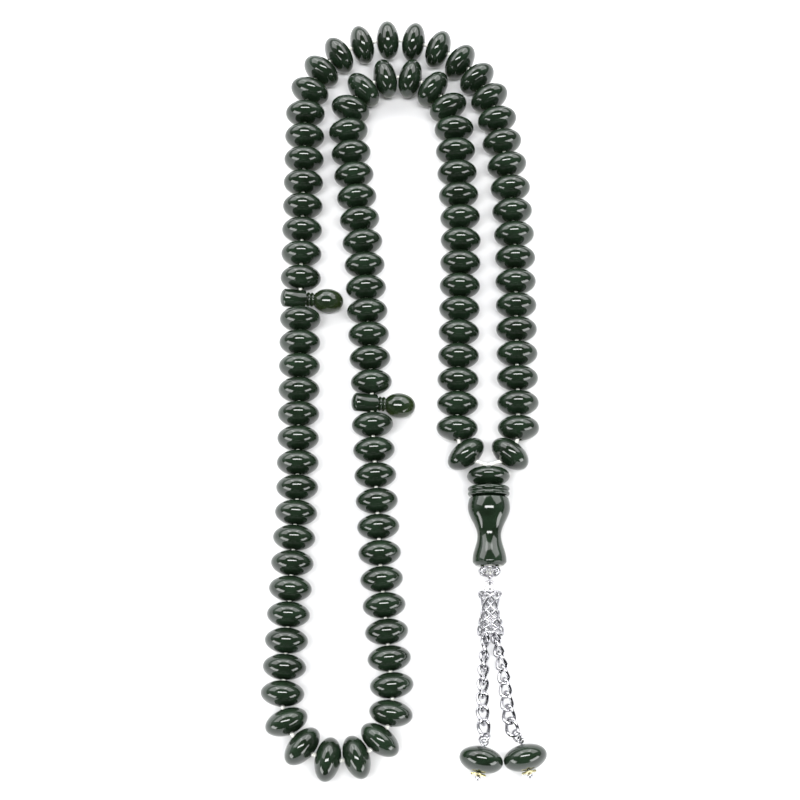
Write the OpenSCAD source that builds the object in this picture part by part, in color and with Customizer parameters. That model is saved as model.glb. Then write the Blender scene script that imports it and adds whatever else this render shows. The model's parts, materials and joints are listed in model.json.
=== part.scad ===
// Misbaha prayer beads. Ninety-nine oval counting beads are strung on one closed
// string, which lies on the table as two nested loops. Two pin-shaped dividers split
// the beads into thirds. The two ends of the string go down through the imam, which
// carries an openwork metal tassel with two curb chains and two end beads.
// The table is at z = 0, and the tassel points along -Y.

/* [Counting beads] */
// Diameter of a counting bead across its bore
bead_d = 10; // [8.5:0.5:12]
// Length of a counting bead along its bore
bead_len = 5.9; // [4.9:0.1:7.1]
// Diameter of the bore of a counting bead
bead_bore = 1.4; // [1.2:0.1:2]
// Smallest gap between two neighbours on the string
bead_gap = 0.1; // [0.1:0.05:0.2]

/* [String] */
// Diameter of the string
string_d = 0.9; // [0.6:0.1:1.1]

/* [Dividers] */
// Diameter of a divider's shaft
shaft_d = 4.4; // [3.6:0.2:5.2]
// Length of the shaft on the far side of the string, dome included
shaft_back = 5; // [4:0.5:5]
// Length of the shaft from the string to the rings
shaft_front = 1.4; // [1:0.2:2]
// Length of the two rings
rings_len = 2; // [1.6:0.2:2.4]
// Diameter of the egg-shaped head
head_d = 6; // [5:0.2:7]
// Length of the egg-shaped head
head_len = 7.4; // [6:0.2:8]

/* [Imam] */
// Diameter of the oval bead on top
top_bead_d = 10.2; // [8.6:0.2:12]
// Length of the oval bead on top
top_bead_len = 4.8; // [4:0.2:5.6]
// Diameter of the double-ridged collar
collar_d = 9.9; // [8.3:0.1:11.8]
// Length of the collar
collar_len = 2.2; // [1.8:0.1:2.6]
// Diameter of the vase body at its shoulder
shoulder_d = 10; // [8.4:0.2:12]
// Diameter of the vase body at its waist
waist_d = 5.6; // [4.8:0.2:6.8]
// Diameter of the vase body at its foot
foot_d = 8; // [6.8:0.2:9.6]
// Length of the vase body
body_len = 16.4; // [13.8:0.2:19.6]
// Room round the two strings in the bore of the imam's three pieces
imam_play = 0.14; // [0.1:0.02:0.3]

/* [Tassel] */
// Widest diameter of the openwork cap
cap_d = 4.9; // [4.2:0.1:5.8]
// Length of the openwork cap
cap_len = 2.8; // [2.4:0.1:3.4]
// Outer diameter of the jump ring
jump_ring_d = 3; // [2.8:0.1:3.6]
// Diameter of the wire of rings, eyes and pins
wire_d = 0.5; // [0.4:0.05:0.6]
// Diameter of the lattice cone at its top
cone_top_d = 5.3; // [4.6:0.1:6.2]
// Diameter of the lattice cone at its waist
cone_waist_d = 3.7; // [3.4:0.1:4.4]
// Diameter of the lattice cone at its mouth
cone_mouth_d = 6; // [5.8:0.1:7]
// Length of the lattice cone
cone_len = 9.6; // [8:0.2:11.4]
// Outer width of a curb link
link_w = 3.4; // [3.3:0.1:3.6]
// Distance from one link to the next
link_pitch = 3.1; // [3.05:0.05:3.3]
// Diameter of the link wire
link_wire = 0.85; // [0.7:0.05:0.9]
// Diameter of the pin through an end bead
pin_d = 0.7; // [0.6:0.05:0.8]

/* [Hidden] */
CLEAR = 0.1;                        // running gap between pieces that slide or turn
PITCH = bead_len + bead_gap;        // one bead along a straight stretch
AXIS_Z = bead_d / 2;                // height of the string above the table
STRAND_GAP = 0.06;                  // between the two strings that share the imam's bore
IMAM_BORE = 2 * string_d + 2 * STRAND_GAP + 2 * imam_play;
STRING_SIDES = 8;
WIRE_SIDES = 6;

// The string's route. Each row is [x in ROUTE_X, y in ROUTE_Y, what is on the stretch
// that ends there]: a number of beads, BARE string, or a DIVIDER. The route widens with
// either size of the bead, and stays long enough to keep its nested arches apart.
ROUTE_X = max(bead_d, PITCH * 10 / 6);
ROUTE_Y = max(PITCH, ROUTE_X * 0.58);
BARE = 0;
DIVIDER = -1;
ROUTE = [
    [2.44, -2.50, BARE], [2.84, -1.60, 1],
    // outer run, away from the imam
    [2.86, 6.85, 8], [2.76, 10.00, 3], [2.42, 13.20, 3],
    // outer arch
    [2.16, 14.18, 1], [1.80, 15.05, 1], [1.30, 15.78, 1], [0.68, 16.26, 1],
    [0.02, 16.48, 1], [-0.66, 16.42, 1], [-1.32, 16.06, 1], [-1.85, 15.42, 1],
    [-2.22, 14.52, 1], [-2.42, 13.50, 1],
    // outer run back, with the first divider
    [-2.46, 4.90, 8], [-2.45, 4.13, DIVIDER],
    [-2.44, -3.96, 8], [-2.70, -12.04, 8],
    // bottom arch
    [-2.46, -13.10, 1], [-1.96, -13.85, 1], [-1.30, -14.06, 1],
    [-0.66, -13.68, 1], [-0.26, -12.80, 1], [-0.16, -11.72, 1],
    // inner run, with the second divider
    [-0.46, -6.60, 5], [-0.68, -0.35, 6], [-0.68, 0.42, DIVIDER],
    [-0.90, 6.52, 6], [-1.36, 12.64, 6],
    // inner arch
    [-1.18, 13.68, 1], [-0.71, 14.46, 1], [-0.06, 14.74, 1],
    [0.58, 14.48, 1], [1.10, 13.74, 1], [1.36, 12.74, 1],
    // inner run back to the imam
    [1.52, 7.62, 5], [1.36, -1.60, 9], [1.76, -2.50, 1],
];
LAST = len(ROUTE) - 1;

function place(i) = [ROUTE[i][0] * ROUTE_X, ROUTE[i][1] * ROUTE_Y];
function load_on(i) = ROUTE[i][2];
function stretch(i) = place(i) - place(i - 1);
function heading(i) = atan2(stretch(i).y, stretch(i).x);
function bend(i) =
    let (a = abs(heading(i + 1) - heading(i))) min(a, 360 - a);
// half of a bead's extent along a line at an angle a to its bore
function reach(a) = norm([bead_len / 2 * cos(a), bead_d / 2 * sin(a)]);
function by_divider(i) = load_on(i) == DIVIDER || (i < LAST && load_on(i + 1) == DIVIDER);
function divider_room(i) =
    shaft_d / 2 + bead_gap + bead_len / 2
        - norm(stretch(load_on(i) == DIVIDER ? i : i + 1)) / 2;
// how far a bead's centre stays from the route point at its end
function room(i) =
    i > 0 && by_divider(i) ? divider_room(i)
    : i > 0 && i < LAST && load_on(i) > 0 && load_on(i + 1) > 0
        ? (reach(bend(i) / 2) + bead_gap / 2) / cos(bend(i) / 2)
    : PITCH / 2;
// slack for each bead of a stretch, and a bead's centre on it
function slack(i) =
    (norm(stretch(i)) - room(i - 1) - room(i) - (load_on(i) - 1) * PITCH) / load_on(i);
function bead_at(i, k) =
    place(i - 1) + stretch(i) / norm(stretch(i))
        * (room(i - 1) + slack(i) / 2 + k * (PITCH + slack(i)));

BEAD_STRETCHES = [for (i = [1 : LAST]) if (load_on(i) > 0) i];
DIVIDER_STRETCHES = [for (i = [1 : LAST]) if (load_on(i) == DIVIDER) i];
BEAD_NODES = [for (n = [1 : len(BEAD_STRETCHES)]) str("beads_", n < 10 ? "0" : "", n)];

// The imam hangs midway between the two ends of the route. PIVOT is where the string
// leaves its top bead; from there s counts down the tassel, which slopes to the table.
IMAM_X = (place(0).x + place(LAST).x) / 2;
STRAND_X = string_d / 2 + STRAND_GAP;
TOP_BEAD_DROP = 0.55;
TOP_BEAD_Y = place(0).y - TOP_BEAD_DROP - top_bead_len / 2;
PIVOT_GAP = 0.28;
PIVOT_Y = TOP_BEAD_Y - top_bead_len / 2 - PIVOT_GAP / 2;
COLLAR_S = PIVOT_GAP / 2;
BODY_S = COLLAR_S + collar_len + CLEAR;
SHOULDER_AT = 2.6;                  // from the top of the body
WAIST_AT = body_len * 0.57;
FOOT_AT = body_len - 1.3;
IMAM_SLOPE = asin((shoulder_d - foot_d) / 2 / (FOOT_AT - SHOULDER_AT));
PIVOT_Z = shoulder_d / 2 + (BODY_S + SHOULDER_AT) * tan(IMAM_SLOPE) + 0.02;
TAIL_D = 2 * string_d;
KNOT_D = 1.8 * TAIL_D;
RECESS_D = KNOT_D + 1.2;
RECESS_LEN = 2.6;
CAP_S = BODY_S + body_len + CLEAR;
EYE_R = 0.75;                       // centre-line radius of the small eyes
EYE_S = CAP_S + cap_len + EYE_R;
function down_tassel(s) =
    [IMAM_X, PIVOT_Y - s * cos(IMAM_SLOPE), PIVOT_Z - s * sin(IMAM_SLOPE)];

// Below the cap the pieces lie level, one hooked in the next.
JUMP_R = (jump_ring_d - wire_d) / 2;
EYE = down_tassel(EYE_S);
CONE_Z = cone_mouth_d / 2 + wire_d / 2;
CONE_EYE = [EYE.x, EYE.y - 2 * JUMP_R, CONE_Z];
CONE_TOP_Y = CONE_EYE.y - 0.2;
CONE_WAIST_AT = 2.6;                // from the cone's top
HANGER_R = 1.9;                     // loop inside the mouth that carries the chains
HANGER_INSIDE = 2.4;                // from the mouth up to the loop's centre
HANGER = [EYE.x, CONE_TOP_Y - cone_len + HANGER_INSIDE, CONE_Z];

// Chains. Each row is one link: [heading from -Y, slope, roll], in degrees. Larger end
// beads spread the chains apart and lift their ends, by the angle SPREAD.
SPREAD = asin(max(0, bead_d - 10) / 2 / 25);
LINK_A = (link_w - link_wire) / 2;
LINK_PLAY = 0.1;                    // the gap between linked ends
LINK_B = link_pitch / 2 + link_wire / 2 + LINK_PLAY;
LINK_H = 0.7 * link_wire;           // the twist's rise at each quarter of a link
HOOK_X = 1.05;                      // where the chains hang on the loop
HOOK_DROP = 0.85;                   // from the loop's wire to the first link's centre
LEFT_LINKS = [
    [-5, -9, 95], [-5, -9, 84], [-4, -7, 73], [-3, -3, 62],
    [-3, 0, 51], [-1, 2, 40], [2, 6, 30], [4, 9, 22],
];
RIGHT_LINKS = [
    [8, -9, -78], [12, -9, -68], [12, -7, -59], [8, -3, -50],
    [5, 1, -42], [5, 5, -34], [8, 10, -27], [15, 16, -20],
];
SIDES = [-1, 1];
LINKS = [for (e = [0, 1]) [for (row = e == 0 ? LEFT_LINKS : RIGHT_LINKS)
    row + [SIDES[e] * SPREAD, SPREAD, 0]]];
UPPER = [0 : 3];
LOWER = [4 : 7];
function link_step(row) =
    [cos(row[1]) * sin(row[0]), -cos(row[1]) * cos(row[0]), sin(row[1])];
function hook(side) =
    [HANGER.x + side * HOOK_X, HANGER.y - sqrt(HANGER_R ^ 2 - HOOK_X ^ 2), HANGER.z];
function link_at(side, links, k) =
    k == 0
        ? hook(side) + HOOK_DROP * link_step(links[0])
        : link_at(side, links, k - 1)
            + link_pitch / 2 * (link_step(links[k - 1]) + link_step(links[k]));

// End rings and head pins, left and right. A ring's row is laid out as a link's is.
END_RING_R = 1.3;
END_RINGS = [[-2, 46, 150], [42, 25, 130]];
RING_PLAY = 0.2;                    // the gap between a ring and the last link's end
EYE_TURNS = [85, -40];              // turn of each pin's eye about its pin
END_TILT = 6;                       // the lower end of an end bead stands this much higher
END_YAWS = [-12, 13];               // and the two beads splay outwards
function end_dir(e) =
    [sin(END_YAWS[e]) * cos(END_TILT), -cos(END_YAWS[e]) * cos(END_TILT), sin(END_TILT)];
function last_link(e) = link_at(SIDES[e], LINKS[e], 7);
function ring_top(e) =
    last_link(e)
        + (LINK_B - link_wire / 2 - wire_d / 2 - RING_PLAY) * link_step(LINKS[e][7]);
function end_ring_at(e) = ring_top(e) + END_RING_R * link_step(END_RINGS[e]);
function pin_eye_at(e) = end_ring_at(e) + END_RING_R * link_step(END_RINGS[e]);
BEAD_ON_PIN = EYE_R + pin_d / 2 + CLEAR + bead_len / 2;
STAR_T = 0.5;
STAR_R = 1.7;
STAR_ON_PIN = BEAD_ON_PIN + bead_len / 2 + CLEAR;
TIP_D = 1.3;
TIP_ON_PIN = STAR_ON_PIN + STAR_T + TIP_D / 2 - 0.1;
function on_pin(e, s) = pin_eye_at(e) + s * end_dir(e);

// The outline of the whole part sets the origin under its middle.
function reach_x(i) = norm([bead_len / 2 * cos(heading(i)), bead_d / 2 * sin(heading(i))]);
function reach_y(i) = norm([bead_len / 2 * sin(heading(i)), bead_d / 2 * cos(heading(i))]);
ALL_BEADS = [for (i = BEAD_STRETCHES) for (k = [0 : load_on(i) - 1]) [i, bead_at(i, k)]];
MIN_X = min([for (b = ALL_BEADS) b[1].x - reach_x(b[0])]);
MAX_X = max([for (b = ALL_BEADS) b[1].x + reach_x(b[0])]);
MAX_Y = max([for (b = ALL_BEADS) b[1].y + reach_y(b[0])]);
MIN_Y = min([for (e = [0, 1]) on_pin(e, TIP_ON_PIN).y]) - TIP_D / 2;
MIDDLE = [(MIN_X + MAX_X) / 2, (MIN_Y + MAX_Y) / 2, 0];

// ---- helpers ----------------------------------------------------------------------

function unit(v) = v / norm(v);

// Rings of points round a path, for one swept tube. The first side of each ring is level.
function tangent(p, i, closed) =
    let (n = len(p))
    closed ? unit(p[(i + 1) % n] - p[(i + n - 1) % n])
    : i == 0 ? unit(p[1] - p[0])
    : i == n - 1 ? unit(p[i] - p[i - 1])
    : unit(unit(p[i + 1] - p[i]) + unit(p[i] - p[i - 1]));
function tube_ring(c, t, r, sides) =
    let (u = unit(cross(t, [0, 0, 1])), v = cross(u, t))
    [for (k = [0 : sides - 1]) c + r * (cos(360 * k / sides) * u + sin(360 * k / sides) * v)];

module tube(path, d, sides, closed = false) {
    n = len(path);
    rings = [for (i = [0 : n - 1]) tube_ring(path[i], tangent(path, i, closed), d / 2, sides)];
    walls = [
        for (i = [0 : closed ? n - 1 : n - 2]) for (k = [0 : sides - 1])
            let (a = i * sides, b = ((i + 1) % n) * sides, m = (k + 1) % sides)
            each [[a + k, b + k, b + m], [a + k, b + m, a + m]]
    ];
    ends = closed ? [] : [
        [for (k = [0 : sides - 1]) k],
        [for (k = [0 : sides - 1]) n * sides - 1 - k],
    ];
    polyhedron(points = [for (r = rings) each r], faces = concat(walls, ends));
}

// A thin rod between each two neighbours of a list of points
module rods(points, d) {
    for (i = [0 : len(points) - 2]) {
        hull() {
            translate(points[i]) sphere(d = d, $fn = 6);
            translate(points[i + 1]) sphere(d = d, $fn = 6);
        }
    }
}

module ring_of_wire(r, d) {
    rotate_extrude($fn = 48) translate([r, 0]) circle(d = d, $fn = 20);
}

// Turns +Z to a direction
module point_along(dir) {
    yaw = atan2(dir.y, dir.x);
    rotate([0, acos(dir.z / norm(dir)), yaw]) children();
}

module along_tassel(s) {
    translate(down_tassel(s)) rotate([90 + IMAM_SLOPE, 0, 0]) children();
}

// Points on an ellipse's arc, as [radius, height]
function arc(centre, rx, ry, from, to, steps) =
    [for (i = [0 : steps]) let (a = from + (to - from) * i / steps)
        centre + [rx * cos(a), ry * sin(a)]];
// A smooth change from a to b as t goes from 0 to 1
function ease(a, b, t) = a + (b - a) * (1 - cos(180 * t)) / 2;

// ---- beads and string -------------------------------------------------------------

module oval_bead(d, length, bore) {
    difference() {
        scale([1, 1, length / d]) sphere(d = d, $fn = 64);
        cylinder(h = length + 2, d = bore, center = true, $fn = 32);
    }
}

module bead_group(n) {
    i = BEAD_STRETCHES[n];
    color("#1d2b20")
    for (k = [0 : load_on(i) - 1])
        translate([bead_at(i, k).x, bead_at(i, k).y, AXIS_Z])
        rotate([0, 90, heading(i)])
        oval_bead(bead_d, bead_len, bead_bore);
}

module string_loop() {
    in_bead = top_bead_d / 2;
    foot = PIVOT_Y + CLEAR;
    turn = place(0).y;
    path = concat(
        [[IMAM_X + STRAND_X, foot, in_bead], [IMAM_X + STRAND_X, turn, in_bead]],
        [for (i = [0 : LAST]) [place(i).x, place(i).y, AXIS_Z]],
        [[IMAM_X - STRAND_X, turn, in_bead], [IMAM_X - STRAND_X, foot, in_bead]]
    );
    color("#e8e8e2") tube(path, string_d, STRING_SIDES);
}

// ---- dividers ---------------------------------------------------------------------

// A divider lies across the string: domed shaft, two rings and an egg-shaped head.
DOME = 1.1;
NECK_R = shaft_d * 0.28;
RING_R = shaft_d * 0.4;
HEAD_AT = shaft_front + rings_len;
EGG_FROM = asin(2 * NECK_R / head_d);  // where the egg leaves the neck
DIVIDER_DROOP = asin((AXIS_Z - head_d / 2 - 0.05) / (HEAD_AT + head_len * 0.55));
DIVIDER_PROFILE = concat(
    arc([0, DOME - shaft_back], shaft_d / 2, DOME, -90, 0, 5),
    [[shaft_d / 2, shaft_front - 0.3], [NECK_R, shaft_front]],
    arc([NECK_R, shaft_front + rings_len * 0.27], RING_R - NECK_R, rings_len * 0.22, -90, 90, 6),
    arc([NECK_R, shaft_front + rings_len * 0.73], RING_R - NECK_R, rings_len * 0.22, -90, 90, 6),
    [for (i = [1 : 14])
        let (a = EGG_FROM + (180 - EGG_FROM) * i / 14)
        [max(0, head_d / 2 * sin(a)),
            HEAD_AT + head_len * (cos(EGG_FROM) - cos(a)) / (cos(EGG_FROM) + 1)]]
);

module divider(n) {
    i = DIVIDER_STRETCHES[n];
    middle = (place(i - 1) + place(i)) / 2;
    color("#1f3022")
    translate([middle.x, middle.y, AXIS_Z])
    rotate([0, 0, heading(i) - 90 * sign(heading(i))])
    rotate([0, DIVIDER_DROOP, 0])
    difference() {
        rotate([0, 90, 0]) rotate_extrude($fn = 64) polygon(DIVIDER_PROFILE);
        rotate([90, 0, 0]) cylinder(h = shaft_d + 2, d = bead_bore, center = true, $fn = 32);
    }
}

// ---- imam -------------------------------------------------------------------------

module imam_top_bead() {
    color("#1d2b20")
    translate([IMAM_X, TOP_BEAD_Y, top_bead_d / 2])
    rotate([90, 0, 0])
    oval_bead(top_bead_d, top_bead_len, IMAM_BORE);
}

module imam_collar() {
    ridge = collar_len / 4;
    core = collar_d / 2 - ridge;
    color("#1f2e22")
    along_tassel(COLLAR_S)
    rotate_extrude($fn = 64)
    polygon(concat(
        [[IMAM_BORE / 2, 0]],
        arc([core, ridge], ridge, ridge, -90, 70, 8),
        arc([core, 3 * ridge], ridge, ridge, -70, 90, 8),
        [[IMAM_BORE / 2, collar_len]]
    ));
}

// Radius of the vase body at a depth z below its top
function vase_r(z) =
    z < SHOULDER_AT ? ease(shoulder_d / 2 * 0.8, shoulder_d / 2, 0.5 + z / SHOULDER_AT / 2)
    : z < WAIST_AT
        ? ease(shoulder_d / 2, waist_d / 2, (z - SHOULDER_AT) / (WAIST_AT - SHOULDER_AT))
    : ease(waist_d / 2, foot_d / 2, (z - WAIST_AT) / (FOOT_AT - WAIST_AT));

module imam_body() {
    steps = 24;
    color("#22331f")
    along_tassel(BODY_S)
    rotate_extrude($fn = 64)
    polygon(concat(
        [[IMAM_BORE / 2, 0], [shoulder_d * 0.4, 0]],
        [for (i = [1 : steps]) let (z = FOOT_AT * i / steps) [vase_r(z), z]],
        [[foot_d / 2, body_len - 0.7], [foot_d / 2 - 0.7, body_len], [RECESS_D / 2, body_len]],
        [[RECESS_D / 2, body_len - RECESS_LEN], [IMAM_BORE / 2, body_len - RECESS_LEN]]
    ));
}

// Both strands, twisted together, go down to a knot in the foot and on into the cap.
module string_tail() {
    knot = BODY_S + body_len - RECESS_LEN + KNOT_D / 2;
    stop = CAP_S + cap_len * 0.45;
    color("#e8e8e2")
    along_tassel(0)
    rotate_extrude($fn = 32)
    polygon(concat(
        [[0, CLEAR], [TAIL_D / 2, CLEAR]],
        arc([0, knot], KNOT_D / 2, KNOT_D / 2, -acos(TAIL_D / KNOT_D), 72, 10),
        arc([0, stop], 0.85, 0.85, -60, 90, 8)
    ));
}

// ---- tassel hardware --------------------------------------------------------------

// Radius of the cap's cup at a share t of its length
function cup_r(t) = ease(cap_d / 2 * 0.78, cap_d / 2, min(1, t / 0.35))
    * (t < 0.35 ? 1 : cos(90 * ((t - 0.35) / 0.65) ^ 1.6 * 0.86));

module filigree_cap() {
    ribs = 8;
    steps = 5;
    color("silver")
    along_tassel(CAP_S) {
        for (r = [0 : ribs - 1])
            rods([for (i = [0 : steps]) let (t = i / steps, a = 360 * r / ribs + 50 * t)
                [cup_r(t) * cos(a), cup_r(t) * sin(a), wire_d / 2 + t * (cap_len - wire_d)]],
                wire_d);
        translate([0, 0, wire_d / 2])
            rods([for (i = [0 : 24]) cup_r(0) * [cos(15 * i), sin(15 * i), 0]], wire_d);
        translate([0, 0, cap_len * 0.45])
            rods([for (i = [0 : 24]) cup_r(0.45) * [cos(15 * i), sin(15 * i), 0]], wire_d);
        translate([0, 0, cap_len + EYE_R])
            rods([for (i = [0 : 16]) EYE_R * [0, cos(22.5 * i), sin(22.5 * i)]], wire_d * 0.9);
        translate([0, 0, cap_len - wire_d])
            cylinder(h = wire_d, d = cup_r(1) * 2 + wire_d, $fn = 16);
    }
}

module jump_ring() {
    color("silver")
    translate((EYE + CONE_EYE) / 2)
    point_along(cross([1, 0, 0], CONE_EYE - EYE))
    ring_of_wire(JUMP_R, wire_d);
}

// Radius of the lattice at a distance z from the cone's top
function cone_r(z) =
    z < CONE_WAIST_AT
        ? ease(cone_top_d, cone_waist_d, z / CONE_WAIST_AT) / 2
        : ease(cone_waist_d, cone_mouth_d, (z - CONE_WAIST_AT) / (cone_len - CONE_WAIST_AT)) / 2;

module lattice_cone() {
    wires = 6;
    steps = 12;
    turn = 270;
    color("silver")
    translate([CONE_EYE.x, CONE_TOP_Y, CONE_Z])
    rotate([90, 0, 0]) {
        for (w = [0 : wires - 1]) for (hand = [-1, 1])
            rods([for (i = [0 : steps])
                let (z = cone_len * i / steps, a = 360 * w / wires + hand * turn * i / steps)
                let (r = cone_r(z) + hand * 0.05)
                [r * cos(a), r * sin(a), z]], wire_d);
        for (z = [0, cone_len])
            translate([0, 0, z])
                rods([for (i = [0 : 24]) cone_r(z) * [cos(15 * i + 4), sin(15 * i + 4), 0]],
                    wire_d * 1.1);
        translate([0, 0, CONE_WAIST_AT - wire_d / 2]) difference() {
            cylinder(h = wire_d, d = cone_waist_d, $fn = 24);
            translate([0, 0, -1]) cylinder(h = wire_d + 2, d = wire_d + 0.4, $fn = 16);
        }
    }
}

// A straight pin inside the cone, with the upper eye on the jump ring
// and the lower loop carrying both chains
module cone_eye_pin() {
    top = CONE_EYE.y - EYE_R;
    color("silver") {
        translate(CONE_EYE) rotate([0, 90, 0]) ring_of_wire(EYE_R, wire_d);
        translate([CONE_EYE.x, top, CONE_Z]) rotate([90, 0, 0])
            cylinder(h = top - HANGER.y - HANGER_R, d = wire_d, $fn = 20);
        translate(HANGER) ring_of_wire(HANGER_R, wire_d);
    }
}

// Turns a link or a ring by its row of [heading, slope, roll]
module laid(row) {
    rotate([0, 0, row[0]])
    rotate([-row[1], 0, 0])
    rotate([0, row[2], 0])
    children();
}

// One curb link: an oval twisted so that the next link passes through it
function link_path(a, b, h, steps) =
    [for (i = [0 : steps - 1]) let (t = 360 * i / steps)
        [a * cos(t), b * sin(t), h * sin(2 * t)]];

module chain(e, span) {
    color("silver")
    for (k = span)
        translate(link_at(SIDES[e], LINKS[e], k))
        laid(LINKS[e][k])
        tube(link_path(LINK_A, LINK_B, LINK_H, 20), link_wire, WIRE_SIDES, closed = true);
}

module end_ring(e) {
    color("silver")
    translate(end_ring_at(e))
    laid(END_RINGS[e])
    ring_of_wire(END_RING_R, wire_d);
}

module head_pin(e) {
    color("silver")
    translate(pin_eye_at(e))
    point_along(end_dir(e)) {
        rotate([0, 90, EYE_TURNS[e]]) ring_of_wire(EYE_R, wire_d);
        translate([0, 0, EYE_R]) cylinder(h = TIP_ON_PIN - EYE_R, d = pin_d, $fn = 32);
        translate([0, 0, TIP_ON_PIN]) sphere(d = TIP_D, $fn = 32);
    }
}

module end_bead(e) {
    color("#1d2b20")
    translate(on_pin(e, BEAD_ON_PIN))
    point_along(end_dir(e))
    oval_bead(bead_d, bead_len, pin_d + 0.12);
}

// A flat four-pointed star under the bead, which the pin's ball holds on
module end_star(e) {
    points = 4;
    color("goldenrod")
    translate(on_pin(e, STAR_ON_PIN))
    point_along(end_dir(e))
    difference() {
        linear_extrude(STAR_T)
            polygon([for (i = [0 : 2 * points - 1])
                let (r = i % 2 == 0 ? STAR_R : STAR_R * 0.5, a = 180 * i / points)
                [r * cos(a), r * sin(a)]]);
        translate([0, 0, -1]) cylinder(h = STAR_T + 2, d = pin_d + 0.12, $fn = 32);
    }
}

// ---- the part ---------------------------------------------------------------------

module at_origin() {
    translate(-MIDDLE) children();
}

at_origin() string_loop();
at_origin() string_tail();
for (n = [0 : len(BEAD_NODES) - 1])
    at_origin() bead_group(n);
at_origin() divider(0);  // divider_1
at_origin() divider(1);  // divider_2
at_origin() imam_top_bead();
at_origin() imam_collar();
at_origin() imam_body();
at_origin() filigree_cap();
at_origin() jump_ring();
at_origin() lattice_cone();
at_origin() cone_eye_pin();
at_origin() chain(0, UPPER);  // chain_left_upper
at_origin() chain(0, LOWER);  // chain_left_lower
at_origin() chain(1, UPPER);  // chain_right_upper
at_origin() chain(1, LOWER);  // chain_right_lower
at_origin() end_ring(0);  // end_ring_left
at_origin() end_ring(1);  // end_ring_right
at_origin() head_pin(0);  // head_pin_left
at_origin() head_pin(1);  // head_pin_right
at_origin() end_bead(0);  // end_bead_left
at_origin() end_bead(1);  // end_bead_right
at_origin() end_star(0);  // end_star_left
at_origin() end_star(1);  // end_star_right
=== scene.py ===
"""A strand of misbaha prayer beads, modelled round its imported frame."""

import json
import math

import bpy
from mathutils import Matrix, Vector


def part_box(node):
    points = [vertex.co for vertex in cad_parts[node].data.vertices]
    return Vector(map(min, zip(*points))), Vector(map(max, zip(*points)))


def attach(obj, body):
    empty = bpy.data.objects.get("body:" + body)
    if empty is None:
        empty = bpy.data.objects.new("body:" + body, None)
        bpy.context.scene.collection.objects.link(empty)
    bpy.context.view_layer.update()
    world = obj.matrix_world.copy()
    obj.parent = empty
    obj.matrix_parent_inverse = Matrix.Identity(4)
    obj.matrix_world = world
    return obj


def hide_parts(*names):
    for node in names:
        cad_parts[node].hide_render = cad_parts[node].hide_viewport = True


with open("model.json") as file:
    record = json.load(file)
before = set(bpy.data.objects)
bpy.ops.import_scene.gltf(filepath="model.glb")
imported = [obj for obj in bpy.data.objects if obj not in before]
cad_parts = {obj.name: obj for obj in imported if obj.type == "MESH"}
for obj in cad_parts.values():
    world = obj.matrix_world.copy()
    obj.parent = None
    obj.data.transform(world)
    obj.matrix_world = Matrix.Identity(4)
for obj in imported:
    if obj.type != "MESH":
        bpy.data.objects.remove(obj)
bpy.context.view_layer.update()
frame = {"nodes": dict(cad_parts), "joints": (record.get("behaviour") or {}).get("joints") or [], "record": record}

MM = 0.001
JOINTS = {joint["name"]: joint for joint in frame["joints"]}
# a group of beads has one collision piece for each bead, so this also counts its beads
PIECES_OF = frame["record"]["physics"]["collision_pieces"]
TABLE_Z = 0.0


# ---- camera ------------------------------------------------------------------------

CAMERA_LENS = 69.7
CAMERA_LIFT = math.radians(73)
CAMERA_DISTANCE = 374 * MM
LOOK_AT = Vector((-0.9, -6.6, 5.0)) * MM


def add_camera():
    back = Vector((0, -math.cos(CAMERA_LIFT), math.sin(CAMERA_LIFT)))
    bpy.ops.object.camera_add(
        location=LOOK_AT + back * CAMERA_DISTANCE,
        rotation=(math.pi / 2 - CAMERA_LIFT, 0, 0),
    )
    camera = bpy.context.object
    camera.data.lens = CAMERA_LENS
    camera.data.clip_start = 0.01
    bpy.context.scene.camera = camera


# ---- sizes, in millimetres ---------------------------------------------------------

BEAD_D = 10.0
BEAD_LEN = 5.9
BEAD_BORE = 1.4
STRING_D = 0.9

SHAFT_D = 4.4
SHAFT_BACK = 5.0
SHAFT_FRONT = 1.4
RINGS_LEN = 2.0
HEAD_D = 6.0
HEAD_LEN = 7.4
DOME = 1.1

TOP_BEAD_D = 10.2
TOP_BEAD_LEN = 4.8
COLLAR_D = 9.9
COLLAR_LEN = 2.2
SHOULDER_D = 10.0
WAIST_D = 5.6
FOOT_D = 8.0
BODY_LEN = 16.4
IMAM_BORE = 2.2
PIVOT_GAP = 0.28
CLEAR = 0.1
STRAND_GAP = 0.06
TAIL_R = 0.9
KNOT_R = 1.6
TAIL_STOP_R = 0.85
RECESS_D = 4.4
RECESS_LEN = 2.6

CAP_D = 4.9
CAP_LEN = 2.8
JUMP_RING_D = 3.0
WIRE_D = 0.5
CONE_TOP_D = 5.3
CONE_WAIST_D = 3.7
CONE_MOUTH_D = 6.0
CONE_LEN = 9.6
CONE_WAIST_AT = 2.6
LINK_W = 3.4
LINK_PITCH = 3.1
LINK_WIRE = 0.85
LINK_PLAY = 0.1
LINK_RISE = 0.7 * LINK_WIRE
PIN_D = 0.7
PIN_PLAY = 0.12
PIN_BALL_R = 0.65
PIN_BALL_DROP = 0.55
EYE_R = 0.75
END_RING_R = 1.3
RING_SLIT = 0.12
LATTICE_WIRE = 0.42
STAR_R = 1.7
STAR_LEN = 0.5


# ---- modelling helpers -------------------------------------------------------------


def deselect():
    """Leaves object mode with nothing selected."""
    if bpy.context.object and bpy.context.object.mode != "OBJECT":
        bpy.ops.object.mode_set(mode="OBJECT")
    bpy.ops.object.select_all(action="DESELECT")


def pick(obj):
    """Makes one object the only selected and active one."""
    deselect()
    obj.select_set(True)
    bpy.context.view_layer.objects.active = obj


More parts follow.
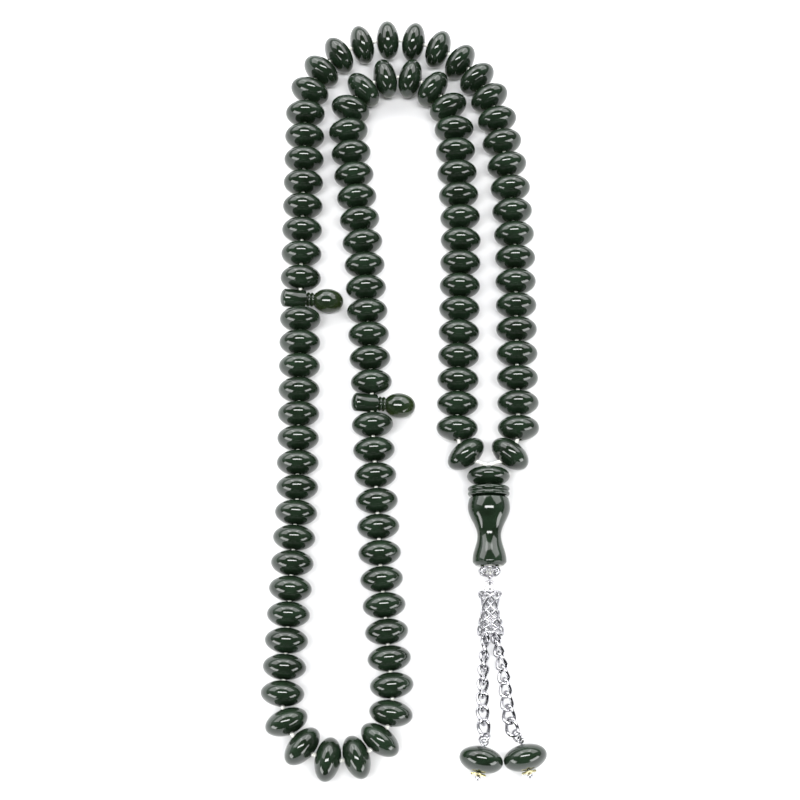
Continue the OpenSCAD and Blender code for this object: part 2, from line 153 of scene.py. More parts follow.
def apply_place(obj, matrix):
    """Puts a finished piece in its place, with the place in its mesh."""
    obj.matrix_world = matrix @ obj.matrix_world
    pick(obj)
    bpy.ops.object.transform_apply(location=True, rotation=True, scale=True)


def smooth(obj, angle):
    pick(obj)
    bpy.ops.object.shade_smooth_by_angle(angle=math.radians(angle))


def copy_of(obj, name):
    made = obj.copy()
    made.data = obj.data.copy()
    made.name = made.data.name = name
    bpy.context.scene.collection.objects.link(made)
    return made


def frame_at(point, along, level=Vector((0, 0, 1))):
    """A place whose local Z runs along a direction, and whose local X is level."""
    z = Vector(along).normalized()
    x = Vector(level).cross(z)
    x = x.normalized() if x.length > 1e-6 else Vector((1, 0, 0))
    y = z.cross(x)
    matrix = Matrix((x, y, z)).transposed().to_4x4()
    matrix.translation = Vector(point)
    return matrix


def select_only(mesh, kind, test):
    """In edit mode, selects the faces or edges that pass a test."""
    bpy.ops.mesh.select_all(action="DESELECT")
    bpy.ops.object.mode_set(mode="OBJECT")
    for item in getattr(mesh, kind):
        item.select = test(item)
    bpy.ops.object.mode_set(mode="EDIT")


def turned(name, outline, steps=96):
    """A piece turned on a lathe: an outline of (radius, height), spun about Z."""
    deselect()
    bpy.ops.mesh.primitive_plane_add(size=MM)
    obj = bpy.context.object
    obj.name = obj.data.name = name
    bpy.ops.object.mode_set(mode="EDIT")
    bpy.ops.mesh.select_mode(type="VERT")
    bpy.ops.mesh.merge(type="CENTER")
    at = Vector((outline[0][0], 0, outline[0][1])) * MM
    bpy.ops.transform.translate(value=at)
    for radius, height in outline[1:]:
        to = Vector((radius, 0, height)) * MM
        bpy.ops.mesh.extrude_vertices_move(TRANSFORM_OT_translate={"value": to - at})
        at = to
    bpy.ops.mesh.select_all(action="SELECT")
    bpy.ops.mesh.spin(steps=steps, angle=2 * math.pi, center=(0, 0, 0), axis=(0, 0, 1))
    bpy.ops.mesh.select_all(action="SELECT")
    bpy.ops.mesh.remove_doubles(threshold=0.001 * MM)
    bpy.ops.mesh.normals_make_consistent(inside=False)
    bpy.ops.object.mode_set(mode="OBJECT")
    return obj


def wire(name, points, thickness, closed=False, sides=3):
    """A round wire along a path of points in millimetres, made a mesh."""
    deselect()
    bpy.ops.curve.primitive_bezier_curve_add(radius=1)
    obj = bpy.context.object
    obj.name = obj.data.name = name
    curve = obj.data
    spline = curve.splines[0]
    spline.bezier_points.add(len(points) - len(spline.bezier_points))
    for knot, point in zip(spline.bezier_points, points):
        knot.co = Vector(point) * MM
        knot.handle_left_type = knot.handle_right_type = "AUTO"
    spline.use_cyclic_u = closed
    spline.resolution_u = 4
    curve.bevel_depth = thickness / 2 * MM
    curve.bevel_resolution = sides
    curve.use_fill_caps = not closed
    pick(obj)
    bpy.ops.object.convert(target="MESH")
    obj = bpy.context.object
    bpy.ops.object.mode_set(mode="EDIT")
    bpy.ops.mesh.select_all(action="SELECT")
    bpy.ops.mesh.remove_doubles(threshold=0.001 * MM)
    bpy.ops.mesh.normals_make_consistent(inside=False)
    bpy.ops.object.mode_set(mode="OBJECT")
    smooth(obj, 50)
    return obj


def joined(name, objs):
    deselect()
    for obj in objs:
        obj.select_set(True)
    bpy.context.view_layer.objects.active = objs[0]
    bpy.ops.object.join()
    obj = bpy.context.object
    obj.name = obj.data.name = name
    return obj


def finished(obj, material, body, slot, *nodes):
    """Gives a piece its material, the body it rides and the CAD nodes it stands for."""
    obj.data.materials.clear()
    obj.data.materials.append(material)
    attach(obj, body)
    if nodes:
        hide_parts(*nodes)


def drilled(obj, d, length, sides, rotation=(0, 0, 0)):
    """Bores a hole through a piece's own origin, along Z unless it is turned."""
    deselect()
    bpy.ops.mesh.primitive_cylinder_add(
        vertices=sides, radius=d / 2 * MM, depth=length * MM, rotation=rotation
    )
    drill = bpy.context.object
    pick(obj)
    cut = obj.modifiers.new("bore", "BOOLEAN")
    cut.operation = "DIFFERENCE"
    cut.solver = "EXACT"
    cut.object = drill
    bpy.ops.object.modifier_apply(modifier="bore")
    bpy.data.objects.remove(drill)


def arc(centre, rx, ry, start, end, steps):
    """Points of an ellipse's arc, as (radius, height)."""
    angles = [math.radians(start + (end - start) * i / steps) for i in range(steps + 1)]
    return [(centre[0] + rx * math.cos(a), centre[1] + ry * math.sin(a)) for a in angles]


def ease(a, b, t):
    """A smooth change from a to b as t goes from 0 to 1."""
    return a + (b - a) * (1 - math.cos(math.pi * t)) / 2


# ---- materials ---------------------------------------------------------------------


def linear(code):
    """An sRGB hex colour as linear RGBA."""
    parts = [int(code[i : i + 2], 16) / 255 for i in (1, 3, 5)]
    parts = [c / 12.92 if c <= 0.04045 else ((c + 0.055) / 1.055) ** 2.4 for c in parts]
    return (*parts, 1.0)


def add_node(tree, kind, settings=(), links=()):
    """One shader node, with its settings, and the sockets that feed its inputs."""
    node = tree.nodes.new(kind)
    for name, value in dict(settings).items():
        if name in node.inputs and not hasattr(type(node), name):
            node.inputs[name].default_value = value
        else:
            setattr(node, name, value)
    for name, socket in dict(links).items():
        tree.links.new(socket, node.inputs[name])
    return node


def new_material(name):
    """A material with only its Principled shader, and that shader."""
    material = bpy.data.materials.new(name)
    material.use_nodes = True
    tree = material.node_tree
    tree.nodes.clear()
    shader = add_node(tree, "ShaderNodeBsdfPrincipled")
    add_node(tree, "ShaderNodeOutputMaterial", links={"Surface": shader.outputs[0]})
    return material, tree, shader


def soft_noise(tree, scale, low, high, detail=3.0):
    """Cloudy noise in the object's own space, spread between two values."""
    place = add_node(tree, "ShaderNodeTexCoord")
    noise = add_node(
        tree,
        "ShaderNodeTexNoise",
        {"Scale": scale, "Detail": detail},
        {"Vector": place.outputs["Object"]},
    )
    return add_node(
        tree,
        "ShaderNodeMapRange",
        {"From Min": 0.3, "From Max": 0.7, "To Min": low, "To Max": high},
        {"Value": noise.outputs["Fac"]},
    ).outputs["Result"]


def mixed(tree, factor, first, second):
    """A colour between two others."""
    mix = add_node(tree, "ShaderNodeMix", {"data_type": "RGBA"})
    tree.links.new(factor, mix.inputs["Factor"])
    for socket, value in ((mix.inputs[6], first), (mix.inputs[7], second)):
        if isinstance(value, tuple):
            socket.default_value = value
        else:
            tree.links.new(value, socket)
    return mix.outputs[2]


def bumped(tree, shader, height, distance):
    bump = add_node(
        tree,
        "ShaderNodeBump",
        {"Strength": 1.0, "Distance": distance},
        {"Height": height},
    )
    tree.links.new(bump.outputs["Normal"], shader.inputs["Normal"])


def polished_resin():
    """Cast resin, turned and buffed: nearly black green, with a hard wet gloss."""
    material, tree, shader = new_material("polished_green_resin")
    # cloudy pigment, and a painted glow: olive painted into the colour low down, standing in for light that comes
    # through the resin from the table
    cloudy = mixed(tree, soft_noise(tree, 260, 0, 1), linear("#10190f"), linear("#1b291c"))
    place = add_node(tree, "ShaderNodeTexCoord")
    split = add_node(tree, "ShaderNodeSeparateXYZ", links={"Vector": place.outputs["Object"]})
    low = add_node(
        tree,
        "ShaderNodeMapRange",
        {"From Min": 0.6 * MM, "From Max": 6.2 * MM, "To Min": 0.6, "To Max": 0.0},
        {"Value": split.outputs["Z"]},
    )
    # painted glow: the olive is mixed in by height, lit-through light painted into the base colour
    glow_painted_colour = mixed(tree, low.outputs["Result"], cloudy, linear("#47551f"))
    tree.links.new(glow_painted_colour, shader.inputs["Base Color"])
    tree.links.new(soft_noise(tree, 900, 0.05, 0.13), shader.inputs["Roughness"])
    shader.inputs["IOR"].default_value = 1.55
    # faint waves left by the buffing wheel
    bumped(tree, shader, soft_noise(tree, 420, 0, 1, 1.0), 0.006 * MM)
    return material


def plated_wire():
    """Bright nickel plate over soft wire: mirror-like, with fine drawing marks."""
    material, tree, shader = new_material("nickel_plated_wire")
    tone = mixed(tree, soft_noise(tree, 1500, 0, 1), linear("#9c9ca0"), linear("#c4c4c7"))
    tree.links.new(tone, shader.inputs["Base Color"])
    shader.inputs["Metallic"].default_value = 1.0
    tree.links.new(soft_noise(tree, 2500, 0.03, 0.1), shader.inputs["Roughness"])
    bumped(tree, shader, soft_noise(tree, 3500, 0, 1), 0.004 * MM)
    return material


def brassy_plate():
    """Thin pressed stars with a pale brass wash, worn paler in patches."""
    material, tree, shader = new_material("pale_brass_wash")
    tone = mixed(tree, soft_noise(tree, 1200, 0, 1), linear("#dccf86"), linear("#efe9c4"))
    tree.links.new(tone, shader.inputs["Base Color"])
    shader.inputs["Metallic"].default_value = 1.0
    tree.links.new(soft_noise(tree, 2000, 0.08, 0.2), shader.inputs["Roughness"])
    bumped(tree, shader, soft_noise(tree, 2600, 0, 1), 0.015 * MM)
    return material


def nylon_cord():
    """Twisted white nylon: fine slanting strands and a soft sheen."""
    material, tree, shader = new_material("twisted_white_nylon")
    place = add_node(tree, "ShaderNodeTexCoord")
    turn = add_node(
        tree,
        "ShaderNodeMapping",
        {"Rotation": (0.5, 0.5, 0.8)},
        {"Vector": place.outputs["Object"]},
    )
    strands = add_node(
        tree,
        "ShaderNodeTexWave",
        {"Scale": 480.0, "Distortion": 1.5, "Detail": 2.0},
        {"Vector": turn.outputs["Vector"]},
    )
    tone = mixed(tree, strands.outputs["Fac"], linear("#d9d9d2"), linear("#f6f6f0"))
    tree.links.new(tone, shader.inputs["Base Color"])
    shader.inputs["Roughness"].default_value = 0.6
    shader.inputs["Sheen Weight"].default_value = 0.3
    bumped(tree, shader, strands.outputs["Fac"], 0.06 * MM)
    return material


def table_card():
    """White coated card: matt, with a hardly visible grain."""
    material, tree, shader = new_material("white_card")
    tone = mixed(tree, soft_noise(tree, 60, 0, 1), linear("#dcdcde"), linear("#e1e1e2"))
    tree.links.new(tone, shader.inputs["Base Color"])
    tree.links.new(soft_noise(tree, 400, 0.82, 0.95), shader.inputs["Roughness"])
    return material


# ---- beads -------------------------------------------------------------------------


def oval_bead(name, d, length, bore):
    """A flattened bead with a bore along Z: a ball pressed flat, drilled and eased."""
    deselect()
    bpy.ops.mesh.primitive_uv_sphere_add(segments=64, ring_count=32, radius=d / 2 * MM)
    obj = bpy.context.object
    obj.name = obj.data.name = name
    bpy.ops.object.mode_set(mode="EDIT")
    bpy.ops.mesh.select_mode(type="VERT")
    bpy.ops.mesh.select_all(action="SELECT")
    bpy.ops.transform.resize(value=(1, 1, length / d))
    half = length / 2 * MM
    select_only(obj.data, "vertices", lambda v: abs(v.co.z) > half * 0.9999)
    bpy.ops.mesh.delete(type="VERT")
    # the ring next to each end becomes the edge of the bore
    ring = d / 2 * MM * math.sin(math.pi / 32)
    select_only(obj.data, "vertices", lambda v: math.hypot(v.co.x, v.co.y) < ring * 1.05)
    grow = bore / 2 * MM / ring
    bpy.ops.transform.resize(value=(grow, grow, 1))
    bpy.ops.mesh.select_mode(type="EDGE")
    bpy.ops.mesh.select_non_manifold()
    bpy.ops.mesh.bridge_edge_loops()
    bpy.ops.mesh.select_mode(type="EDGE")
    edge = bore / 2 * MM * 1.02

    def on_edge(e):
        ends = [obj.data.vertices[i].co for i in e.vertices]
        return all(math.hypot(p.x, p.y) < edge for p in ends) and ends[0].z * ends[1].z > 0

    select_only(obj.data, "edges", on_edge)
    bpy.ops.mesh.bevel(offset=0.12 * MM, segments=3, profile=0.5)
    bpy.ops.mesh.select_all(action="SELECT")
    bpy.ops.mesh.normals_make_consistent(inside=False)
    bpy.ops.object.mode_set(mode="OBJECT")
    smooth(obj, 60)
    return obj


def half_extent(along, axis):
    """Half of a bead's extent along a row axis, with its bore along a direction."""
    share = along[axis]
    return math.hypot(BEAD_LEN / 2 * share, BEAD_D / 2 * math.sqrt(1 - share**2)) * MM


def group_centres(node):
    """The centres of a group's beads, from its box and its string's direction."""
    low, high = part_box(node)
    along = Vector(JOINTS[node + "_spin"]["axis"])
    count = PIECES_OF[node]
    axis = 1 if abs(along.y) > abs(along.x) else 0
    middle = (low + high) / 2
    span = (high - low)[axis] - 2 * half_extent(along, axis)
    step = span / (count - 1) / abs(along[axis]) if count > 1 else 0
    return [middle + along * step * (k - (count - 1) / 2) for k in range(count)], along


def string_beads(resin):
    """All counting beads. Returns the string's way through them: (centre, direction)."""
    first = oval_bead("bead", BEAD_D, BEAD_LEN, BEAD_BORE)
    way = []
    for node in [n for n in frame["nodes"] if n.startswith("beads_")]:
        centres, along = group_centres(node)
        for k, centre in enumerate(centres):
            bead = copy_of(first, f"{node}_{k + 1}")
            apply_place(bead, frame_at(centre, along))
            finished(bead, resin, node, "beads", node)
            way.append((centre, along))
    bpy.data.objects.remove(first)
    return way


# ---- string ------------------------------------------------------------------------


def string_through(way, cord):
    """The twisted cord, on the bore of each bead in turn and down into the imam."""
    top = Vector(JOINTS["imam_top_bead_spin"]["pos_m"])
    pivot = Vector(JOINTS["tassel_swing"]["pos_m"])
    beside = (STRING_D / 2 + STRAND_GAP) * MM
    ends = []
    for side in (1, -1):
        x = top.x + side * beside
        turn = top.y + (TOP_BEAD_LEN / 2 + 0.45) * MM
        ends.append([
            (Vector((x, pivot.y + CLEAR * MM, top.z)), Vector((0, 1, 0))),
            (Vector((x, top.y, top.z)), Vector((0, 1, 0))),
            (Vector((x + side * 0.1 * MM, turn, top.z)), Vector((side, 0.4, 0))),
        ])
    back = [(point, -along) for point, along in reversed(ends[1])]
    path = ends[0] + way + back
    deselect()
    bpy.ops.curve.primitive_bezier_curve_add(radius=1)
    obj = bpy.context.object
    obj.name = obj.data.name = "string_loop_cord"
    spline = obj.data.splines[0]
    spline.bezier_points.add(len(path) - len(spline.bezier_points))
    points = [p for p, _ in path]
    for i, (knot, (point, along)) in enumerate(zip(spline.bezier_points, path)):
        before = (points[i] - points[max(i - 1, 0)]).length
        after = (points[min(i + 1, len(points) - 1)] - points[i]).length
        along = Vector(along).normalized()
        knot.handle_left_type = knot.handle_right_type = "FREE"
        knot.co = point
        knot.handle_left = point - along * before * 0.36
        knot.handle_right = point + along * after * 0.36
    spline.resolution_u = 10
    obj.data.bevel_depth = STRING_D / 2 * MM
    obj.data.bevel_resolution = 3
    obj.data.use_fill_caps = True
    pick(obj)
    bpy.ops.object.convert(target="MESH")
    obj = bpy.context.object
    smooth(obj, 60)
    finished(obj, cord, "strand", "string", "string_loop")


# ---- dividers ----------------------------------------------------------------------


def divider_outline():
    """Domed shaft, two rings and an egg-shaped head, as (radius, height from the string)."""
    shaft = SHAFT_D / 2
    neck = SHAFT_D * 0.28
    ring = SHAFT_D * 0.4
    points = arc((0, DOME - SHAFT_BACK), shaft, DOME, -90, 0, 14)
    points += [(shaft, SHAFT_FRONT - 0.42), (shaft - 0.04, SHAFT_FRONT - 0.34)]
    points += [(neck + 0.1, SHAFT_FRONT - 0.02), (neck, SHAFT_FRONT)]
    for share in (0.27, 0.73):
        at = (neck, SHAFT_FRONT + RINGS_LEN * share)
        points += arc(at, ring - neck, RINGS_LEN * 0.22, -90, 90, 10)
    head_at = SHAFT_FRONT + RINGS_LEN
    egg_from = math.asin(2 * neck / HEAD_D)
    for i in range(1, 37):
        a = egg_from + (math.pi - egg_from) * i / 36
        share = (math.cos(egg_from) - math.cos(a)) / (math.cos(egg_from) + 1)
        points.append((max(0.0, HEAD_D / 2 * math.sin(a)), head_at + HEAD_LEN * share))
    return points


def add_dividers(resin):
    """Both dividers lie across the string, each drilled through its shaft."""
    drop = BEAD_D / 2 - HEAD_D / 2 - 0.05
    droop = math.asin(drop / (SHAFT_FRONT + RINGS_LEN + HEAD_LEN * 0.55))
    first = turned("divider", divider_outline())
    drilled(first, BEAD_BORE, SHAFT_D + 2, 48, (math.pi / 2, 0, 0))
    smooth(first, 40)
    for node in ("divider_1", "divider_2"):
        joint = JOINTS[node + "_swing"]
        string_way = Vector(joint["axis"])
        out = Vector((0, 0, 1)).cross(string_way)
        across = Matrix.Rotation(-droop, 4, string_way) @ Vector((*out.xy, 0))
        piece = copy_of(first, node + "_pin")
        apply_place(piece, frame_at(joint["pos_m"], across, string_way))
        finished(piece, resin, node, "dividers", node)
    bpy.data.objects.remove(first)


# ---- imam --------------------------------------------------------------------------

PIVOT = Vector(JOINTS["tassel_swing"]["pos_m"])
DOWN_TASSEL = Vector(JOINTS["imam_collar_spin"]["axis"])
COLLAR_S = PIVOT_GAP / 2
BODY_S = COLLAR_S + COLLAR_LEN + CLEAR
CAP_S = BODY_S + BODY_LEN + CLEAR
SHOULDER_AT = 2.6
WAIST_AT = BODY_LEN * 0.57
FOOT_AT = BODY_LEN - 1.3


def tassel_place(s):
    """A place on the tassel's axis, s millimetres below the pivot, with Z down the tassel."""
    return frame_at(PIVOT + DOWN_TASSEL * s * MM, DOWN_TASSEL)


def vase_radius(z):
    if z < SHOULDER_AT:
        return ease(SHOULDER_D / 2 * 0.8, SHOULDER_D / 2, 0.5 + z / SHOULDER_AT / 2)
    if z < WAIST_AT:
        return ease(SHOULDER_D / 2, WAIST_D / 2, (z - SHOULDER_AT) / (WAIST_AT - SHOULDER_AT))
    return ease(WAIST_D / 2, FOOT_D / 2, (z - WAIST_AT) / (FOOT_AT - WAIST_AT))


def add_imam(resin):
    top = oval_bead("imam_top", TOP_BEAD_D, TOP_BEAD_LEN, IMAM_BORE)
    joint = JOINTS["imam_top_bead_spin"]
    apply_place(top, frame_at(joint["pos_m"], joint["axis"]))
    finished(top, resin, "imam_top_bead", "beads", "imam_top_bead")

    ridge = COLLAR_LEN / 4
    core = COLLAR_D / 2 - ridge
    bore = IMAM_BORE / 2
    outline = [(bore, 0)]
    outline += arc((core, ridge), ridge, ridge, -90, 70, 14)
    outline += arc((core, 3 * ridge), ridge, ridge, -70, 90, 14)
    outline += [(bore, COLLAR_LEN), (bore, 0)]
    collar = turned("imam_collar_rings", outline)
    smooth(collar, 40)
    apply_place(collar, tassel_place(COLLAR_S))
    finished(collar, resin, "imam_collar", "imam", "imam_collar")

    outline = [(bore, 0), (SHOULDER_D * 0.4 - 0.25, 0), (SHOULDER_D * 0.4 - 0.05, 0.06)]
    outline += [(vase_radius(FOOT_AT * i / 60), FOOT_AT * i / 60) for i in range(2, 61)]
    foot = FOOT_D / 2
    outline += arc((foot - 0.25, FOOT_AT + 0.35), 0.25, 0.35, 0, 60, 4)
    outline += [(foot - 0.7, BODY_LEN - 0.05), (foot - 0.8, BODY_LEN), (RECESS_D / 2, BODY_LEN)]
    outline += [(RECESS_D / 2, BODY_LEN - RECESS_LEN), (bore, BODY_LEN - RECESS_LEN), (bore, 0)]
    body = turned("imam_vase", outline)
    smooth(body, 40)
    apply_place(body, tassel_place(BODY_S))
    finished(body, resin, "imam_body", "imam", "imam_body")


def add_tail(cord):
    """The twisted string ends inside the imam, with the knot in its foot."""
    knot = BODY_S + BODY_LEN - RECESS_LEN + KNOT_R
    stop = CAP_S + CAP_LEN * 0.45
    outline = [(0, CLEAR), (TAIL_R, CLEAR)]
    outline += arc((0, knot), KNOT_R, KNOT_R, -55, 72, 12)
    outline += arc((0, stop), TAIL_STOP_R, TAIL_STOP_R, -60, 90, 10)
    tail = turned("string_tail_cord", outline, 32)
    smooth(tail, 50)
    apply_place(tail, tassel_place(0))
    finished(tail, cord, "tail", "string", "string_tail")


# ---- tassel hardware ---------------------------------------------------------------


def circle_points(r, steps, z=0.0):
    angles = [2 * math.pi * i / steps for i in range(steps)]
    return [(r * math.cos(a), r * math.sin(a), z) for a in angles]


def wire_ring(name, r, thickness, slit=0.0):
    """A ring of round wire in the XY plane. With a slit it is a jump ring, cut and closed."""
    if not slit:
        return wire(name, circle_points(r, 24), thickness, closed=True)
    gap = slit / r / 2
    angles = [gap + (2 * math.pi - 2 * gap) * i / 28 for i in range(29)]
    return wire(name, [(r * math.cos(a), r * math.sin(a), 0) for a in angles], thickness)


def cup_radius(t):
    if t < 0.35:
        return ease(CAP_D / 2 * 0.78, CAP_D / 2, t / 0.35)
    return CAP_D / 2 * math.cos(math.radians(77.4) * ((t - 0.35) / 0.65) ** 1.6)


def on_cup(t, a):
    r = cup_radius(t)
    return (r * math.cos(a), r * math.sin(a), 0.25 + t * (CAP_LEN - 0.5))


def add_cap(metal):
    """The openwork cap: curled loops below a ring, drawn in to a soldered eye."""
    petals = 6
    parts = [wire("rim", circle_points(cup_radius(0), 24, 0.25), WIRE_D, closed=True)]
    for p in range(petals):
        a0 = 2 * math.pi * p / petals
        loop = []
        curl = []
        for i in range(16):
            th = 2 * math.pi * i / 16
            t = 0.08 + 0.8 * (1 - math.cos(th)) / 2
            loop.append(on_cup(t, a0 + 0.46 * math.sin(th) * (1 - 0.25 * t)))
        for i in range(14):
            th = 2.6 * math.pi * i / 13
            size = 1 - i / 16
            t = 0.36 - 0.2 * size * math.cos(th)
            curl.append(on_cup(t, a0 + 0.27 * size * math.sin(th)))
        parts.append(wire("petal", loop, 0.36, closed=True, sides=2))
        parts.append(wire("curl", curl, 0.3, sides=2))
    deselect()
    bpy.ops.mesh.primitive_uv_sphere_add(
        segments=20, ring_count=12, radius=0.62 * MM, location=(0, 0, (CAP_LEN - 0.35) * MM)
    )
    parts.append(bpy.context.object)
    eye = wire_ring("eye", EYE_R, WIRE_D * 0.9)
    eye_at = Matrix.Translation((0, 0, (CAP_LEN + EYE_R) * MM))
    apply_place(eye, eye_at @ Matrix.Rotation(math.pi / 2, 4, "Y"))
    parts.append(eye)
    cap = joined("filigree_cup", parts)
    apply_place(cap, tassel_place(CAP_S))
    smooth(cap, 60)
    finished(cap, metal, "tail", "silver_metal", "filigree_cap")


def cone_radius(z):
    if z < CONE_WAIST_AT:
        return ease(CONE_TOP_D, CONE_WAIST_D, z / CONE_WAIST_AT) / 2
    share = (z - CONE_WAIST_AT) / (CONE_LEN - CONE_WAIST_AT)
    return ease(CONE_WAIST_D, CONE_MOUTH_D, share) / 2


EYE_AT = Vector(JOINTS["jump_ring_swing"]["pos_m"])
CONE_AT = Vector(JOINTS["cone_swing"]["pos_m"])
DOWN = Vector((0, -1, 0))


def add_jump_ring(metal):
    r = (JUMP_RING_D - WIRE_D) / 2
    ring = wire_ring("jump_ring_wire", r, WIRE_D, slit=RING_SLIT)
    across = Vector((1, 0, 0)).cross(CONE_AT - EYE_AT)
    apply_place(ring, frame_at((EYE_AT + CONE_AT) / 2, across))
    finished(ring, metal, "jump_ring", "silver_metal", "jump_ring")


def add_cone(metal):
    """The lattice cone: crossing wires round a waist, with a wire rim at both ends."""
    wires = 6
    steps = 24
    turn = math.radians(270)
    parts = []
    for w in range(wires):
        for hand in (-1, 1):
            points = []
            for i in range(steps + 1):
                z = CONE_LEN * i / steps
                a = 2 * math.pi * w / wires + hand * turn * i / steps
                r = cone_radius(z) + hand * 0.05
                points.append((r * math.cos(a), r * math.sin(a), z))
            parts.append(wire("lattice", points, LATTICE_WIRE, sides=2))
    for z in (0, CONE_LEN):
        rim = circle_points(cone_radius(z), 24, z)
        parts.append(wire("rim", rim, WIRE_D, closed=True, sides=2))
    deselect()
    bpy.ops.mesh.primitive_torus_add(
        major_segments=40,
        minor_segments=12,
        major_radius=1.15 * MM,
        minor_radius=0.24 * MM,
        location=(0, 0, CONE_WAIST_AT * MM),
    )
    parts.append(bpy.context.object)
    cone = joined("lattice_cone_wires", parts)
    apply_place(cone, frame_at(CONE_AT + DOWN * 0.2 * MM, DOWN))
    smooth(cone, 60)
    finished(cone, metal, "cone", "silver_metal", "lattice_cone")


HANGER_R = 1.9
HOOK_X = 1.05
HOOK_DROP = 0.85
LEFT_HOOK = Vector(JOINTS["chain_left_hook"]["pos_m"])
RIGHT_HOOK = Vector(JOINTS["chain_right_hook"]["pos_m"])
HANGER = (LEFT_HOOK + RIGHT_HOOK) / 2 + Vector((0, math.sqrt(HANGER_R**2 - HOOK_X**2), 0)) * MM


def add_cone_pin(metal):
    eye = wire_ring("eye", EYE_R, WIRE_D)
    apply_place(eye, frame_at(CONE_AT, (1, 0, 0)))
    top = CONE_AT.y / MM - EYE_R
    end = HANGER.y / MM + HANGER_R
    x, z = CONE_AT.x / MM, CONE_AT.z / MM
    stem = wire("stem", [(x, top, z), (x, (top + end) / 2, z), (x, end, z)], WIRE_D)
    loop = wire_ring("hanger", HANGER_R, WIRE_D)
    apply_place(loop, Matrix.Translation(HANGER))
    pin = joined("cone_pin_wire", [eye, stem, loop])
    finished(pin, metal, "cone", "silver_metal", "cone_eye_pin")


# Each row is one link of a chain: heading from -Y, slope and roll, in degrees.
LEFT_LINKS = [
    (-5, -9, 95), (-5, -9, 84), (-4, -7, 73), (-3, -3, 62),
    (-3, 0, 51), (-1, 2, 40), (2, 6, 30), (4, 9, 22),
]
RIGHT_LINKS = [
    (8, -9, -78), (12, -9, -68), (12, -7, -59), (8, -3, -50),
    (5, 1, -42), (5, 5, -34), (8, 10, -27), (15, 16, -20),
]
# The rings at the chains' ends lie in the same way; each pin's eye is turned about its pin.
END_RINGS = {"left": (-2, 46, 150), "right": (42, 25, 130)}
EYE_TURNS = {"left": 85, "right": -40}


def link_turn(heading, slope, roll):
    """The turn of a link that is modelled flat, with its length along -Y."""
    turns = Matrix.Rotation(math.radians(heading), 4, "Z")
    turns = turns @ Matrix.Rotation(math.radians(-slope), 4, "X")
    return turns @ Matrix.Rotation(math.radians(roll), 4, "Y")


def link_step(row):
    return link_turn(*row) @ Vector((0, -1, 0))


def add_chain(side, hook, rows, metal):
    """Eight curb links, each an oval of wire twisted so that the next passes through it."""
    a = (LINK_W - LINK_WIRE) / 2
    b = LINK_PITCH / 2 + LINK_WIRE / 2 + LINK_PLAY
    path = []
    for i in range(20):
        th = 2 * math.pi * i / 20
        path.append((a * math.cos(th), b * math.sin(th), LINK_RISE * math.sin(2 * th)))
    first = wire("link", path, LINK_WIRE, closed=True, sides=3)
    at = Vector(hook)
    for k, row in enumerate(rows):
        if k == 0:
            at = at + link_step(row) * HOOK_DROP * MM
        else:
            at = at + (link_step(rows[k - 1]) + link_step(row)) * LINK_PITCH / 2 * MM
        node = f"chain_{side}_{'upper' if k < 4 else 'lower'}"
        link = copy_of(first, f"chain_{side}_link_{k + 1}")
        apply_place(link, Matrix.Translation(at) @ link_turn(*row))
        finished(link, metal, node, "silver_metal", node)
    bpy.data.objects.remove(first)


def add_drop(side, resin, metal, brass):
    """One end ring with its head pin, end bead and star."""
    pin_at = Vector(JOINTS[f"head_pin_{side}_swing"]["pos_m"])
    ring_at = pin_at - link_step(END_RINGS[side]) * END_RING_R * MM
    ring = wire_ring(f"end_ring_{side}_wire", END_RING_R, WIRE_D, slit=RING_SLIT)
    apply_place(ring, Matrix.Translation(ring_at) @ link_turn(*END_RINGS[side]))
    finished(ring, metal, f"end_ring_{side}", "silver_metal", f"end_ring_{side}")

    joint = JOINTS[f"end_bead_{side}_spin"]
    along = Vector(joint["axis"])
    bead_at = Vector(joint["pos_m"])
    bead_s = (bead_at - pin_at).length / MM
    bead = oval_bead(f"end_bead_{side}_drop", BEAD_D, BEAD_LEN, PIN_D + PIN_PLAY)
    apply_place(bead, frame_at(bead_at, along))
    finished(bead, resin, f"end_bead_{side}", "beads", f"end_bead_{side}")

    star_s = bead_s + BEAD_LEN / 2 + CLEAR
    tip_s = star_s + STAR_LEN + PIN_BALL_DROP
    eye = wire_ring("eye", EYE_R, WIRE_D)
    turn = Matrix.Rotation(math.radians(EYE_TURNS[side]), 4, "Z")
    apply_place(eye, turn @ Matrix.Rotation(math.pi / 2, 4, "Y"))
    outline = [(0, EYE_R), (PIN_D / 2, EYE_R), (PIN_D / 2, tip_s - 0.5)]
    outline += arc((0, tip_s), PIN_BALL_R, PIN_BALL_R, -50, 90, 14)
    stem = turned("stem", outline, 40)
    pin = joined(f"head_pin_{side}_wire", [stem, eye])
    smooth(pin, 50)
    apply_place(pin, frame_at(pin_at, along))
    finished(pin, metal, f"head_pin_{side}", "silver_metal", f"head_pin_{side}")

    star = pressed_star(f"end_star_{side}_plate")
    apply_place(star, frame_at(pin_at + along * star_s * MM, along))
    finished(star, brass, f"head_pin_{side}", "stars", f"end_star_{side}")


